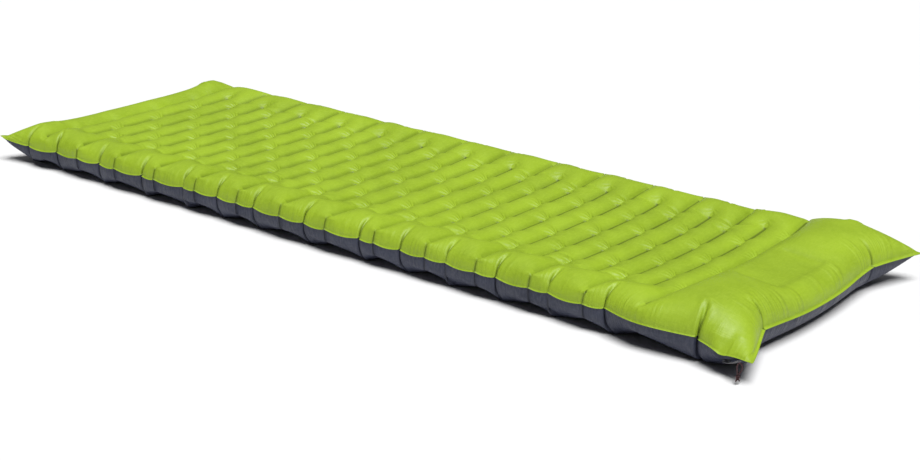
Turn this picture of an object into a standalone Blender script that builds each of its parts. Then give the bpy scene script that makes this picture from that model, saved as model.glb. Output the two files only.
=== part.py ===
"""Inflatable sleeping pad with a foot pump chamber at one end.

Frame: origin under the middle of the pad, on the surface that it lies on; +X towards the pump
chamber, +Z up, metres. The pad is shown inflated. Two sheets are welded along their edge, and
upright webs tie them together inside, so that tubes stand between the webs.
"""

import math

import bmesh
import bpy
from mathutils import Matrix, Vector

# ---------------------------------------------------------------- driving dimensions
FLANGE = 0.005               # flat margin outside the edge weld
HALF_LENGTH = 0.915 - FLANGE  # middle to the edge weld at a corner tip, along X
HALF_WIDTH = 0.330 - FLANGE  # middle to the edge weld at a corner tip, along Y
SIDE_PULL = 0.035            # how far the pressure pulls a long side in between its corners
END_PULL = 0.035             # the same for a short side
CORNER_REACH = 0.050         # how fast the pull fades towards a corner
RIM_HEIGHT = 0.038           # edge weld above the floor, along the tubes
PUMP_RIM_HEIGHT = 0.053      # the same along the pump chamber
TIP_HEIGHT = 0.049           # the same at the corner tips
SKIN = 0.0006                # laminated fabric
GAP = 0.0003                 # kept between touching pieces

# tubes of the main chamber
TUBE_PITCH = 0.0594
FIRST_WELD_X = -0.8306
WELD_COUNT = 27              # the last one closes the pump chamber
SHORT_WELD_HALF = 0.200      # every second weld stops here
VALLEY_TOP = 0.058
CROWN_TOP = 0.074
FOOT_CROWN_TOP = 0.078
VALLEY_BOTTOM = 0.014
SIDE_SCALLOP = 0.004
SHOULDER = 0.060             # round shoulder of a tube's upper side
UNDER_SHOULDER = 0.045       # the same below the edge weld
CORNER_TAPER = 0.035         # the underside is flatter towards a corner tip
WALL_SHARE = 0.20            # first step in from the edge weld, as a share of the shoulder

# pump chamber
PUMP_CROWN_TOP = 0.106
PUMP_SHOULDER = 0.080
END_SHOULDER = 0.050         # round shoulder towards a short side
PANEL_CENTRE_X = 0.7945
PANEL_LENGTH = 0.075
PANEL_WIDTH = 0.156
PANEL_SLOPE_WIDTH = 0.240
PANEL_DEPTH = 0.012
PUMP_END_SHARES = (0.84, 0.93, 1.0)

# webs between the two sheets
WEB_THICKNESS = 0.0005
WEB_CLEARANCE = 0.0012
WEB_SIDE_GAP = 0.034         # from the edge weld to a long web's end
WEB_NOTCH_WIDTH = 0.020
WEB_NOTCH_DEPTH = 0.007
WELD_GAP_ROW = 0.1176        # distance between the notches of one web

# valves; radii, and the flange's lift above the sheet, are in the valve's own frame, +Z out
SEGMENTS = 20
INTAKE_SHARE = 0.16          # place along the ridge under the corner, 1 at its tip
INTAKE_OUT = Vector((0.29, -0.396, -0.871))
DUMP_WELD = 1                # the side bulge that holds the dump valve is centred on this weld
INTAKE = {"bore": 0.0040, "body": 0.0056, "flange": 0.0088, "cap": 0.0072, "lift": 0.0024}
DUMP = {"bore": 0.0060, "body": 0.0080, "flange": 0.0140, "cap": 0.0100, "lift": 0.0012}
VALVE_DEPTH = 0.006          # body below the sheet
BODY_ABOVE_FLANGE = 0.0011
FLANGE_THICKNESS = 0.0009
CAP_THICKNESS = 0.0022
PLUG_DEPTH = 0.0014
HINGE_REACH = 0.0004         # hinge axis outside the cap's rim
SEAL_THICKNESS = 0.0006
FLAP_THICKNESS = 0.0006
TRANSFER_BORE = 0.0100
TRANSFER_SEAT = 0.0150
TRANSFER_PLACE = (0.120, 0.036)

# pull tab and cord loop on the intake cap
TAB_WIDTH = 0.007
TAB_THICKNESS = 0.0010
CORD_DIAMETER = 0.0023
LOOP_TOP = Vector((0.9065, -0.3195, 0.0380))
LOOP_ROUTE = (
    (0.0000, -0.0205), (0.0010, -0.0180), (0.0026, -0.0150), (0.0040, -0.0118), (0.0046, -0.0085),
    (0.0042, -0.0052), (0.0031, -0.0026), (0.0016, -0.0008), (0.0000, 0.0000), (-0.0016, -0.0008),
    (-0.0029, -0.0028), (-0.0036, -0.0056), (-0.0037, -0.0090), (-0.0033, -0.0124),
    (-0.0027, -0.0155), (-0.0024, -0.0180), (-0.0024, -0.0205),
)
KNOT_RADIUS = 0.0038
KNOT_DROP = 0.0212


# ---------------------------------------------------------------- scene helpers
def clear_scene():
    for obj in list(bpy.data.objects):
        bpy.data.objects.remove(obj, do_unlink=True)


def make_material(name, colour, roughness):
    material = bpy.data.materials.new(name)
    material.use_nodes = True
    shader = material.node_tree.nodes["Principled BSDF"]
    shader.inputs["Base Color"].default_value = (*colour, 1.0)
    shader.inputs["Roughness"].default_value = roughness
    material.diffuse_color = (*colour, 1.0)
    return material


def add_object(name, data, material, matrix=None, parent=None):
    """Link an object whose mesh is placed by matrix, and by its parent's place when it has one."""
    obj = bpy.data.objects.new(name, data)
    bpy.context.collection.objects.link(obj)
    if data is not None:
        data.materials.append(material)
    obj.parent = parent
    obj.matrix_local = matrix if matrix is not None else Matrix.Identity(4)
    return obj


def mesh_of(name, bm, smooth_angle=None):
    mesh = bpy.data.meshes.new(name)
    bmesh.ops.recalc_face_normals(bm, faces=bm.faces)
    bm.to_mesh(mesh)
    bm.free()
    if smooth_angle is not None:
        mesh.shade_smooth()
        mesh.set_sharp_from_angle(angle=math.radians(smooth_angle))
    return mesh


def add_pivot(name, matrix, parent=None):
    pivot = bpy.data.objects.new(name, None)
    bpy.context.collection.objects.link(pivot)
    pivot.parent = parent
    pivot.matrix_local = matrix
    return pivot


def turned(name, profile):
    """A closed solid turned about Z from an outline of (radius, height) points."""
    bm = bmesh.new()
    closed = all(radius > 0 for radius, _ in profile)
    verts = [bm.verts.new((radius, 0, height)) for radius, height in profile]
    edges = [bm.edges.new(pair) for pair in zip(verts, verts[1:])]
    if closed:
        edges.append(bm.edges.new((verts[-1], verts[0])))
    bmesh.ops.spin(bm, geom=verts + edges, angle=math.tau, steps=SEGMENTS, axis=(0, 0, 1), cent=(0, 0, 0))
    bmesh.ops.remove_doubles(bm, verts=bm.verts, dist=1e-5)
    return mesh_of(name, bm, smooth_angle=40)


def ring(name, inner, outer, low, high):
    return turned(name, [(inner, low), (outer, low), (outer, high), (inner, high)])


def disc(name, radius, low, high):
    return turned(name, [(0, low), (radius, low), (radius, high), (0, high)])


def extruded(name, outline, depth):
    """A flat outline in the YZ plane given a depth along X, centred on it."""
    bm = bmesh.new()
    face = bm.faces.new([bm.verts.new((-depth / 2, y, z)) for y, z in outline])
    moved = bmesh.ops.extrude_face_region(bm, geom=[face])["geom"]
    bmesh.ops.translate(bm, verts=[v for v in moved if isinstance(v, bmesh.types.BMVert)], vec=(depth, 0, 0))
    return mesh_of(name, bm)


def block(name, size, centre, bevel):
    bm = bmesh.new()
    bmesh.ops.create_cube(bm, size=1.0)
    bmesh.ops.scale(bm, verts=bm.verts, vec=size)
    bmesh.ops.translate(bm, verts=bm.verts, vec=centre)
    bmesh.ops.bevel(bm, geom=bm.edges[:], offset=bevel, segments=1, affect="EDGES")
    return mesh_of(name, bm)


def cut_round(obj, name, radius, matrix, length, solver="EXACT"):
    """Cut a round hole of this radius along the Z of matrix."""
    bm = bmesh.new()
    bmesh.ops.create_cone(
        bm, cap_ends=True, segments=SEGMENTS, radius1=radius, radius2=radius, depth=length
    )
    cutter = add_object(name, mesh_of(name, bm), None, matrix)
    cutter.hide_render = True
    cutter.display_type = "WIRE"
    modifier = obj.modifiers.new(name, "BOOLEAN")
    modifier.operation = "DIFFERENCE"
    modifier.object = cutter
    modifier.solver = solver


# ---------------------------------------------------------------- shape of the pad
def weld_x(index):
    return FIRST_WELD_X + TUBE_PITCH * index


LAST_WELD_X = weld_x(WELD_COUNT - 1)


def side_rim(x):
    """Half width of the edge weld at x: pulled in between the corners, pinched at long welds."""
    fade = math.exp(-(HALF_LENGTH - abs(x)) / CORNER_REACH)
    scallop = 0.0
    if FIRST_WELD_X < x < LAST_WELD_X:
        scallop = SIDE_SCALLOP * abs(math.sin(math.pi * (x - FIRST_WELD_X) / (2 * TUBE_PITCH)))
    return HALF_WIDTH - SIDE_PULL * (1 - fade) + scallop


def end_rim(y):
    """Half length of the edge weld at y."""
    fade = math.exp(-(HALF_WIDTH - abs(y)) / CORNER_REACH)
    return HALF_LENGTH - END_PULL * (1 - fade)


def rounded(distance, shoulder):
    """Quarter ellipse from 0 at the edge weld to 1 past the shoulder."""
    along = min(max(distance / shoulder, 0.0), 1.0)
    return math.sqrt(1 - (1 - along) ** 2)


def corner_share(x, y):
    """1 at a corner tip, fading to 0 away from it."""
    to_tip = math.hypot(HALF_LENGTH - abs(x), HALF_WIDTH - abs(y))
    return math.exp(-to_tip / CORNER_REACH)


def rim_height(x, y):
    """Height of the edge weld, or of the middle plane inside it."""
    along = min(max((x - LAST_WELD_X) / TUBE_PITCH, 0.0), 1.0)
    level = RIM_HEIGHT + (PUMP_RIM_HEIGHT - RIM_HEIGHT) * along
    return level + (TIP_HEIGHT - level) * corner_share(x, y)


def in_panel(x, y):
    return abs(x - PANEL_CENTRE_X) < PANEL_LENGTH / 2 + GAP and abs(y) < PANEL_WIDTH / 2 + GAP


def weld_at(x, y):
    """True where a weld line holds the two sheets together."""
    index = round((x - FIRST_WELD_X) / TUBE_PITCH)
    if not 0 <= index < WELD_COUNT or abs(x - weld_x(index)) > GAP:
        return False
    return index % 2 == 0 or abs(y) <= SHORT_WELD_HALF + GAP


def free_height(x, y, upper):
    """Height of a sheet away from the rims."""
    if not upper:
        return VALLEY_BOTTOM if weld_at(x, y) else 0.0
    if weld_at(x, y):
        return VALLEY_TOP
    if x < FIRST_WELD_X:
        return FOOT_CROWN_TOP
    if x < LAST_WELD_X:
        return CROWN_TOP
    return PUMP_CROWN_TOP - (PANEL_DEPTH if in_panel(x, y) else 0.0)


def sheet_height(x, y, upper):
    """Height of a sheet's outer face at x, y."""
    rim = rim_height(x, y)
    if upper:
        side = PUMP_SHOULDER if x > LAST_WELD_X + GAP else SHOULDER
        end = END_SHOULDER
    else:
        side = UNDER_SHOULDER + CORNER_TAPER * corner_share(x, y)
        end = side
    swell = rounded(side_rim(x) - abs(y), side) * rounded(end_rim(y) - abs(x), end)
    lift = (SKIN + GAP / 2) * (1 if upper else -1)
    return rim + lift + (free_height(x, y, upper) - rim - lift) * swell


def column_stations():
    """Steps along the pad: (x of the innermost weld, how far on from there to the end rim)."""
    steps = [(FIRST_WELD_X, share, -1) for share in (1.0, 0.9, 0.65, 0.3)]
    for index in range(WELD_COUNT - 1):
        for share in (0.0, 0.27, 0.73):
            steps.append((weld_x(index) + share * TUBE_PITCH, 0.0, 1))
    pump_length = end_rim(0.0) - LAST_WELD_X
    panel = [(PANEL_CENTRE_X + side * PANEL_LENGTH / 2 - LAST_WELD_X) / pump_length for side in (-1, 1)]
    shares = (0.0, 0.09, 0.17, *panel, *PUMP_END_SHARES)
    steps += [(LAST_WELD_X, share, 1) for share in shares]
    return steps


def row_stations():
    """Steps across half of the pad: (fixed y, None) or (None, distance in from the rim)."""
    steps = [(y, None) for y in (PANEL_WIDTH / 2, PANEL_SLOPE_WIDTH / 2, SHORT_WELD_HALF)]
    steps += [(None, SHOULDER * share) for share in (1.0, 0.58, WALL_SHARE, 0.0)]
    return steps


def sheet_point(column, row, side, upper):
    base, share, end = column
    fixed, inward = row
    nominal = base + (HALF_LENGTH - abs(base)) * share * end
    y = side * (fixed if inward is None else side_rim(nominal) - inward)
    x = base + (end_rim(y) - abs(base)) * share * end
    return Vector((x, y, sheet_height(x, y, upper)))


def add_flange(grid):
    """Add the flat margin outside the edge weld, all round a grid of points."""
    def outward(point, dx, dy):
        return point + Vector((dx, dy, 0)) * FLANGE

    wide = []
    for line in grid:
        wide.append([outward(line[0], 0, -1), *line, outward(line[-1], 0, 1)])
    first = [outward(point, -1, 0) for point in wide[0]]
    last = [outward(point, 1, 0) for point in wide[-1]]
    return [first, *wide, last]


def make_sheet(name, upper):
    rows = row_stations()
    grid = []
    for column in column_stations():
        low_side = [sheet_point(column, row, -1, upper) for row in reversed(rows)]
        high_side = [sheet_point(column, row, 1, upper) for row in rows]
        grid.append(low_side + high_side)
    grid = add_flange(grid)
    bm = bmesh.new()
    verts = []
    for line in grid:
        verts.append([bm.verts.new(point) for point in line])
    for near, far in zip(verts, verts[1:]):
        for a, b, c, d in zip(near, far, far[1:], near[1:]):
            bm.faces.new((a, b, c, d) if upper else (d, c, b, a))
    mesh = bpy.data.meshes.new(name)
    bm.to_mesh(mesh)
    bm.free()
    obj = add_object(name, mesh, MATERIALS[name])
    modifier = obj.modifiers.new("skin", "SOLIDIFY")
    modifier.thickness = SKIN
    modifier.offset = -1.0
    return obj


# ---------------------------------------------------------------- inner pieces
def web_edge(x, half_span, upper, notches):
    """Points of a web's upper or lower edge, from -Y to +Y."""
    def height(y):
        outer = sheet_height(x, y, upper)
        return outer - WEB_CLEARANCE if upper else outer + WEB_CLEARANCE

    shoulder_y = min(side_rim(x) - SHOULDER, half_span)
    points = [(y, height(y)) for y in {half_span, -half_span, shoulder_y, -shoulder_y}]
    for notch in notches:
        edge = height(notch)
        cut = edge - WEB_NOTCH_DEPTH if upper else edge + WEB_NOTCH_DEPTH
        half = WEB_NOTCH_WIDTH / 2
        points += [(notch - half, edge), (notch - half * 0.6, cut), (notch + half * 0.6, cut), (notch + half, edge)]
    return sorted(points)


def web_outline(x, half_span, notches):
    return web_edge(x, half_span, False, notches) + web_edge(x, half_span, True, notches)[::-1]


def make_webs():
    for index in range(WELD_COUNT - 1):
        x = weld_x(index)
        if index % 2 == 0:
            half_span = side_rim(x) - WEB_SIDE_GAP
            notches = [WELD_GAP_ROW * step for step in (-1.5, -0.5, 0.5, 1.5)]
        else:
            half_span = SHORT_WELD_HALF - WEB_CLEARANCE
            notches = [WELD_GAP_ROW * step for step in (-1, 0, 1)]
        name = f"web_{index + 1:02d}"
        mesh = extruded(name, web_outline(x, half_span, notches), WEB_THICKNESS)
        add_object(name, mesh, MATERIALS["web"], Matrix.Translation((x, 0, 0)))


def make_pump_partition():
    half_span = side_rim(LAST_WELD_X) - WEB_SIDE_GAP
    mesh = extruded("pump_partition", web_outline(LAST_WELD_X, half_span, []), WEB_THICKNESS)
    obj = add_object("pump_partition", mesh, MATERIALS["web"], Matrix.Translation((LAST_WELD_X, 0, 0)))
    place = Matrix.Translation((LAST_WELD_X, *TRANSFER_PLACE)) @ Matrix.Rotation(-math.pi / 2, 4, "Y")
    cut_round(obj, "transfer_hole", TRANSFER_BORE, place, 0.01)
    seat_low = WEB_THICKNESS / 2 + GAP
    seat_high = seat_low + 0.002
    seat = ring("transfer_valve_seat", TRANSFER_BORE, TRANSFER_SEAT, seat_low, seat_high)
    add_object("transfer_valve_seat", seat, MATERIALS["valve"], place)
    flap_radius = TRANSFER_SEAT - 0.002
    hinge = Matrix.Translation((0, flap_radius, seat_high + GAP + FLAP_THICKNESS / 2))
    pivot = add_pivot("transfer_flap_pivot", place @ hinge)
    flap = disc("transfer_valve_flap", flap_radius, -FLAP_THICKNESS / 2, FLAP_THICKNESS / 2)
    add_object("transfer_valve_flap", flap, MATERIALS["silicone"],
               Matrix.Translation((0, -flap_radius, 0)), pivot)


def make_pump_foam():
    length = PANEL_LENGTH - 0.002
    width = PANEL_WIDTH - 0.002
    panel_height = sheet_height(PANEL_CENTRE_X + PANEL_LENGTH / 2, PANEL_WIDTH / 2, True)
    low = SKIN + 2 * GAP
    high = panel_height - SKIN - 2 * GAP
    size = (length, width, high - low)
    mesh = block("pump_foam_core", size, (PANEL_CENTRE_X, 0, (low + high) / 2), 0.003)
    add_object("pump_foam_core", mesh, MATERIALS["foam"])


# ---------------------------------------------------------------- valves
def frame_matrix(origin, out, hinge_towards):
    """Frame with +Z along out, and +X as near to hinge_towards as that allows."""
    out = out.normalized()
    across = (hinge_towards - hinge_towards.project(out)).normalized()
    side = out.cross(across)
    return Matrix.Translation(origin) @ Matrix((across, side, out)).transposed().to_4x4()


def intake_frame():
    """On the ridge that runs under a corner of the pump chamber up to its tip."""
    inner = sheet_point((LAST_WELD_X, PUMP_END_SHARES[0], 1), (None, SHOULDER * WALL_SHARE), -1, False)
    tip = sheet_point((LAST_WELD_X, 1.0, 1), (None, 0.0), -1, False)
    ridge = tip - inner
    out = INTAKE_OUT - INTAKE_OUT.project(ridge)
    return frame_matrix(inner.lerp(tip, INTAKE_SHARE), out, -ridge)


def dump_frame():
    """On the lower side wall, on the side away from the intake valve."""
    column = (weld_x(DUMP_WELD), 0.0, 1)
    rim = sheet_point(column, (None, 0.0), 1, False)
    inner = sheet_point(column, (None, SHOULDER * WALL_SHARE), 1, False)
    along = Vector((1, 0, 0))
    return frame_matrix(rim.lerp(inner, 0.5), along.cross(inner - rim), along)


def body_top(sizes):
    return sizes["lift"] + FLANGE_THICKNESS + BODY_ABOVE_FLANGE


def cap_middle(sizes):
    return body_top(sizes) + SEAL_THICKNESS + 2 * GAP + CAP_THICKNESS / 2


def make_valve(prefix, sizes, frame, sheet):
    """Fixed pieces of a valve and its cap; returns the cap's pivot."""
    # the exact solver turns this thin skin inside out, the manifold one does not
    cut_round(sheet, prefix + "_hole", sizes["body"] + GAP, frame, 4 * VALVE_DEPTH, "MANIFOLD")
    flange = ring(prefix + "_valve_flange", sizes["body"] + GAP, sizes["flange"],
                  sizes["lift"], sizes["lift"] + FLANGE_THICKNESS)
    add_object(prefix + "_valve_flange", flange, MATERIALS["valve"], frame)
    body = ring(prefix + "_valve_body", sizes["bore"], sizes["body"], -VALVE_DEPTH, body_top(sizes))
    add_object(prefix + "_valve_body", body, MATERIALS["valve"], frame)
    hinge_x = sizes["cap"] + HINGE_REACH
    hinge = Matrix.Translation((hinge_x, 0, cap_middle(sizes)))
    pivot = add_pivot(prefix + "_cap_pivot", frame @ hinge)
    plug = sizes["bore"] - 2 * GAP
    low = -CAP_THICKNESS / 2
    high = CAP_THICKNESS / 2
    plug_low = low - SEAL_THICKNESS - 2 * GAP - PLUG_DEPTH
    outline = [(0, plug_low), (plug, plug_low), (plug, low), (sizes["cap"], low),
               (sizes["cap"], high - 0.0006), (sizes["cap"] - 0.0008, high), (0, high)]
    back = Matrix.Translation((-hinge_x, 0, 0))
    cap = turned(prefix + "_valve_cap", outline)
    add_object(prefix + "_valve_cap", cap, MATERIALS["cap"], back, pivot)
    seal_high = low - GAP
    seal = ring(prefix + "_cap_seal", plug + GAP, sizes["body"] - GAP, seal_high - SEAL_THICKNESS, seal_high)
    add_object(prefix + "_cap_seal", seal, MATERIALS["silicone"], back, pivot)
    return pivot


def strap(name, points, width, thickness, across):
    """A flat strap of even width along points, all of them in one frame."""
    bm = bmesh.new()
    side = Vector(across).normalized() * width / 2
    loops = []
    for index, point in enumerate(points):
        before = points[max(index - 1, 0)]
        after = points[min(index + 1, len(points) - 1)]
        up = (after - before).cross(side).normalized() * thickness / 2
        corners = (point + side + up, point - side + up, point - side - up, point + side - up)
        loops.append([bm.verts.new(corner) for corner in corners])
    for near, far in zip(loops, loops[1:]):
        for index in range(4):
            following = (index + 1) % 4
            bm.faces.new((near[index], near[following], far[following], far[index]))
    bm.faces.new(loops[0])
    bm.faces.new(loops[-1])
    return mesh_of(name, bm)


def make_intake_flap(frame):
    radius = INTAKE["body"] - 0.0004
    top = -VALVE_DEPTH - GAP
    pivot = add_pivot("intake_flap_pivot", frame @ Matrix.Translation((radius, 0, top - FLAP_THICKNESS / 2)))
    flap = disc("intake_valve_flap", radius, -FLAP_THICKNESS / 2, FLAP_THICKNESS / 2)
    add_object("intake_valve_flap", flap, MATERIALS["silicone"], Matrix.Translation((-radius, 0, 0)), pivot)


def make_pull_tab(frame, pivot):
    """Strap from the free side of the intake cap to the cord loop under the corner."""
    to_pivot = pivot.matrix_world.inverted()
    cap_top = cap_middle(INTAKE) + CAP_THICKNESS / 2 + GAP + TAB_THICKNESS / 2
    start = frame @ Vector((0.002, 0, cap_top))
    edge = frame @ Vector((-INTAKE["cap"] - 0.001, 0, cap_top))
    finish = LOOP_TOP + Vector((-0.0005, 0.0006, 0.0034))
    middle = edge.lerp(finish, 0.5) + Vector((0, 0, -0.0008))
    points = [to_pivot @ point for point in (start, edge, middle, finish)]
    across = to_pivot.to_3x3() @ (frame.to_3x3() @ Vector((0, 1, 0)))
    mesh = strap("intake_pull_tab", points, TAB_WIDTH, TAB_THICKNESS, across)
    add_object("intake_pull_tab", mesh, MATERIALS["strap"], None, pivot)


def smooth_route(points, step):
    """Points every step along a Catmull-Rom curve through points."""
    dense = []
    padded = [points[0], *points, points[-1]]
    for a, b, c, d in zip(padded, padded[1:], padded[2:], padded[3:]):
        for part in range(8):
            t = part / 8
            dense.append(0.5 * (2 * b + (c - a) * t + (2 * a - 5 * b + 4 * c - d) * t ** 2
                                + (3 * b - a - 3 * c + d) * t ** 3))
    dense.append(points[-1])
    route = [dense[0]]
    travelled = 0.0
    for before, after in zip(dense, dense[1:]):
        travelled += (after - before).length
        if travelled >= step:
            route.append(after)
            travelled = 0.0
    route[-1] = dense[-1]
    return route


def make_pull_loop():
    """Cord loop that hangs from the tab, with its two legs knotted together below."""
    pivot = add_pivot("pull_loop_pivot", Matrix.Translation(LOOP_TOP))
    across = Vector((0.82, 0.57, 0)).normalized()
    points = [across * side + Vector((0, 0, drop)) for side, drop in LOOP_ROUTE]
    route = smooth_route(points, 0.0022)
    curve = bpy.data.curves.new("pull_cord", "CURVE")
    curve.dimensions = "3D"
    curve.bevel_depth = CORD_DIAMETER / 2
    curve.bevel_resolution = 2
    curve.use_fill_caps = True
    curve.render_resolution_u = 0
    spline = curve.splines.new("POLY")
    spline.points.add(len(route) - 1)
    for target, point in zip(spline.points, route):
        target.co = (*point, 1.0)
    add_object("pull_cord", curve, MATERIALS["cord"], None, pivot)
    bm = bmesh.new()
    bmesh.ops.create_icosphere(bm, subdivisions=2, radius=KNOT_RADIUS)
    knot = mesh_of("pull_cord_knot", bm, smooth_angle=60)
    place = across * -0.0012 + Vector((0, 0, -KNOT_DROP - KNOT_RADIUS))
    add_object("pull_cord_knot", knot, MATERIALS["cord"], Matrix.Translation(place), pivot)


def make_dump_hinge(frame):
    """Short strap that holds the dump valve's cap to its flange."""
    reach = DUMP["cap"] + HINGE_REACH
    high = cap_middle(DUMP)
    low = DUMP["lift"] + FLANGE_THICKNESS + GAP
    points = [Vector((reach + 0.0021, 0, high)), Vector((reach + 0.0025, 0, high - 0.0010)),
              Vector((reach + 0.0026, 0, low + 0.0005))]
    mesh = strap("dump_cap_hinge", points, 0.008, 0.0008, Vector((0, 1, 0)))
    add_object("dump_cap_hinge", mesh, MATERIALS["valve"], frame)


# ---------------------------------------------------------------- assembly
MATERIALS = {}


def make_materials():
    MATERIALS["top_sheet"] = make_material("top_sheet", (0.36, 0.58, 0.03), 0.5)
    MATERIALS["bottom_sheet"] = make_material("bottom_sheet", (0.07, 0.07, 0.10), 0.55)
    MATERIALS["web"] = make_material("web", (0.75, 0.75, 0.74), 0.6)
    MATERIALS["foam"] = make_material("foam", (0.80, 0.78, 0.70), 0.9)
    MATERIALS["valve"] = make_material("valve", (0.02, 0.02, 0.03), 0.45)
    MATERIALS["cap"] = make_material("cap", (0.03, 0.03, 0.04), 0.4)
    MATERIALS["silicone"] = make_material("silicone", (0.70, 0.72, 0.74), 0.35)
    MATERIALS["strap"] = make_material("strap", (0.03, 0.02, 0.03), 0.7)
    MATERIALS["cord"] = make_material("cord", (0.12, 0.01, 0.02), 0.7)


def main():
    clear_scene()
    make_materials()
    make_sheet("top_sheet", upper=True)
    bottom = make_sheet("bottom_sheet", upper=False)
    make_webs()
    make_pump_partition()
    make_pump_foam()
    intake = intake_frame()
    pivot = make_valve("intake", INTAKE, intake, bottom)
    make_intake_flap(intake)
    bpy.context.view_layer.update()
    make_pull_tab(intake, pivot)
    make_pull_loop()
    dump = dump_frame()
    make_valve("dump", DUMP, dump, bottom)
    make_dump_hinge(dump)


main()
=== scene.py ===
import math

import bmesh
import bpy
import numpy as np
from mathutils import Matrix, Vector


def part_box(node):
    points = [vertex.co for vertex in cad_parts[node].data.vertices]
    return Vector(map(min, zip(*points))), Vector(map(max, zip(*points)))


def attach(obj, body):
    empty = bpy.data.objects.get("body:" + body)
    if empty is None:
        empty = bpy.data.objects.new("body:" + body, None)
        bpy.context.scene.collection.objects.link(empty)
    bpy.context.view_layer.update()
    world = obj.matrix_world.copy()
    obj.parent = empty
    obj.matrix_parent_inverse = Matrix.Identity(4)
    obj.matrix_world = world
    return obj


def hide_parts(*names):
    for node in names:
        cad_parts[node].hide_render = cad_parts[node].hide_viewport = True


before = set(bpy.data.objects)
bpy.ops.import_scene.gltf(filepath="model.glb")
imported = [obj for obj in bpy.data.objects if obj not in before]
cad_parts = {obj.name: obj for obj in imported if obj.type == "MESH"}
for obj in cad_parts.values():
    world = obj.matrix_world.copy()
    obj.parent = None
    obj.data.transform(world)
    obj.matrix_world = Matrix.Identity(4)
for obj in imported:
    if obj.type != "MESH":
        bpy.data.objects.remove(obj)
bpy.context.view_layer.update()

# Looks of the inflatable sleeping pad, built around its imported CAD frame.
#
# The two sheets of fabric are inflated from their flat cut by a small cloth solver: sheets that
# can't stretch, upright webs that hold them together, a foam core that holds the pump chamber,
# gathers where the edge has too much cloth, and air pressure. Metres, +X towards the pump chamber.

ALL = slice(None)


# -------------------- camera
AZIMUTH, ELEVATION, ROLL = (math.radians(a) for a in (37.73, 19.01, 1.25))
CAMERA_PLACE = Vector((2.123, -2.625, 1.136))
FOCAL_MM, SENSOR_MM = 68.63, 36.0

camera_data = bpy.data.cameras.new("camera")
camera_data.sensor_width = SENSOR_MM
camera_data.lens = FOCAL_MM
camera = bpy.data.objects.new("camera", camera_data)
bpy.context.collection.objects.link(camera)
back = Vector((math.sin(AZIMUTH) * math.cos(ELEVATION), -math.cos(AZIMUTH) * math.cos(ELEVATION),
               math.sin(ELEVATION)))
level = Vector((math.cos(AZIMUTH), math.sin(AZIMUTH), 0))
upright = back.cross(level)
right = level * math.cos(ROLL) + upright * math.sin(ROLL)
up = upright * math.cos(ROLL) - level * math.sin(ROLL)
placed = Matrix((right, up, back)).transposed().to_4x4()
placed.translation = CAMERA_PLACE
camera.matrix_world = placed
bpy.context.scene.camera = camera
bpy.context.scene.view_settings.view_transform = "Standard"


# -------------------- helpers
def new_mesh(name, points, faces):
    """An object with a mesh of its own, made from points and faces."""
    mesh = bpy.data.meshes.new(name)
    mesh.from_pydata([tuple(p) for p in points], [], [tuple(f) for f in faces])
    mesh.update()
    return new_object(name, mesh)


def new_object(name, data):
    """An object for data, linked to the scene."""
    obj = bpy.data.objects.new(name, data)
    bpy.context.collection.objects.link(obj)
    return obj


def smooth(obj):
    obj.data.shade_smooth()
    return obj


def ease(x):
    """0 below 0, 1 above 1, and a smooth step between."""
    x = np.clip(x, 0, 1)
    return x * x * (3 - 2 * x)


def tube_mesh(name, path, radius, sides, relief):
    """A closed mesh tube along path, with radius varied by relief(distance, angle)."""
    path = [Vector(p) for p in path]
    points, faces = [], []
    normal = (path[1] - path[0]).orthogonal().normalized()
    travelled = 0.0
    for index, point in enumerate(path):
        ahead = path[min(index + 1, len(path) - 1)] - path[max(index - 1, 0)]
        ahead.normalize()
        normal = (normal - ahead * normal.dot(ahead)).normalized()
        side = ahead.cross(normal)
        if index:
            travelled += (point - path[index - 1]).length
        for k in range(sides):
            angle = 2 * math.pi * k / sides
            r = radius * relief(travelled, angle)
            points.append(point + (normal * math.cos(angle) + side * math.sin(angle)) * r)
    for ring in range(len(path) - 1):
        for k in range(sides):
            a, b = ring * sides + k, ring * sides + (k + 1) % sides
            faces.append((a, b, b + sides, a + sides))
    last_ring = (len(path) - 1) * sides
    faces.append(tuple(reversed(range(sides))))
    faces.append(tuple(range(last_ring, last_ring + sides)))
    return smooth(new_mesh(name, points, faces))


def catmull(points, parts):
    """Points along a Catmull-Rom curve through points."""
    points = [Vector(p) for p in points]
    padded = [points[0], *points, points[-1]]
    dense = []
    for a, b, c, d in zip(padded, padded[1:], padded[2:], padded[3:]):
        for part in range(parts):
            t = part / parts
            dense.append(0.5 * (2 * b + (c - a) * t + (2 * a - 5 * b + 4 * c - d) * t ** 2
                                + (3 * b - a - 3 * c + d) * t ** 3))
    dense.append(points[-1])
    return dense


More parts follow.
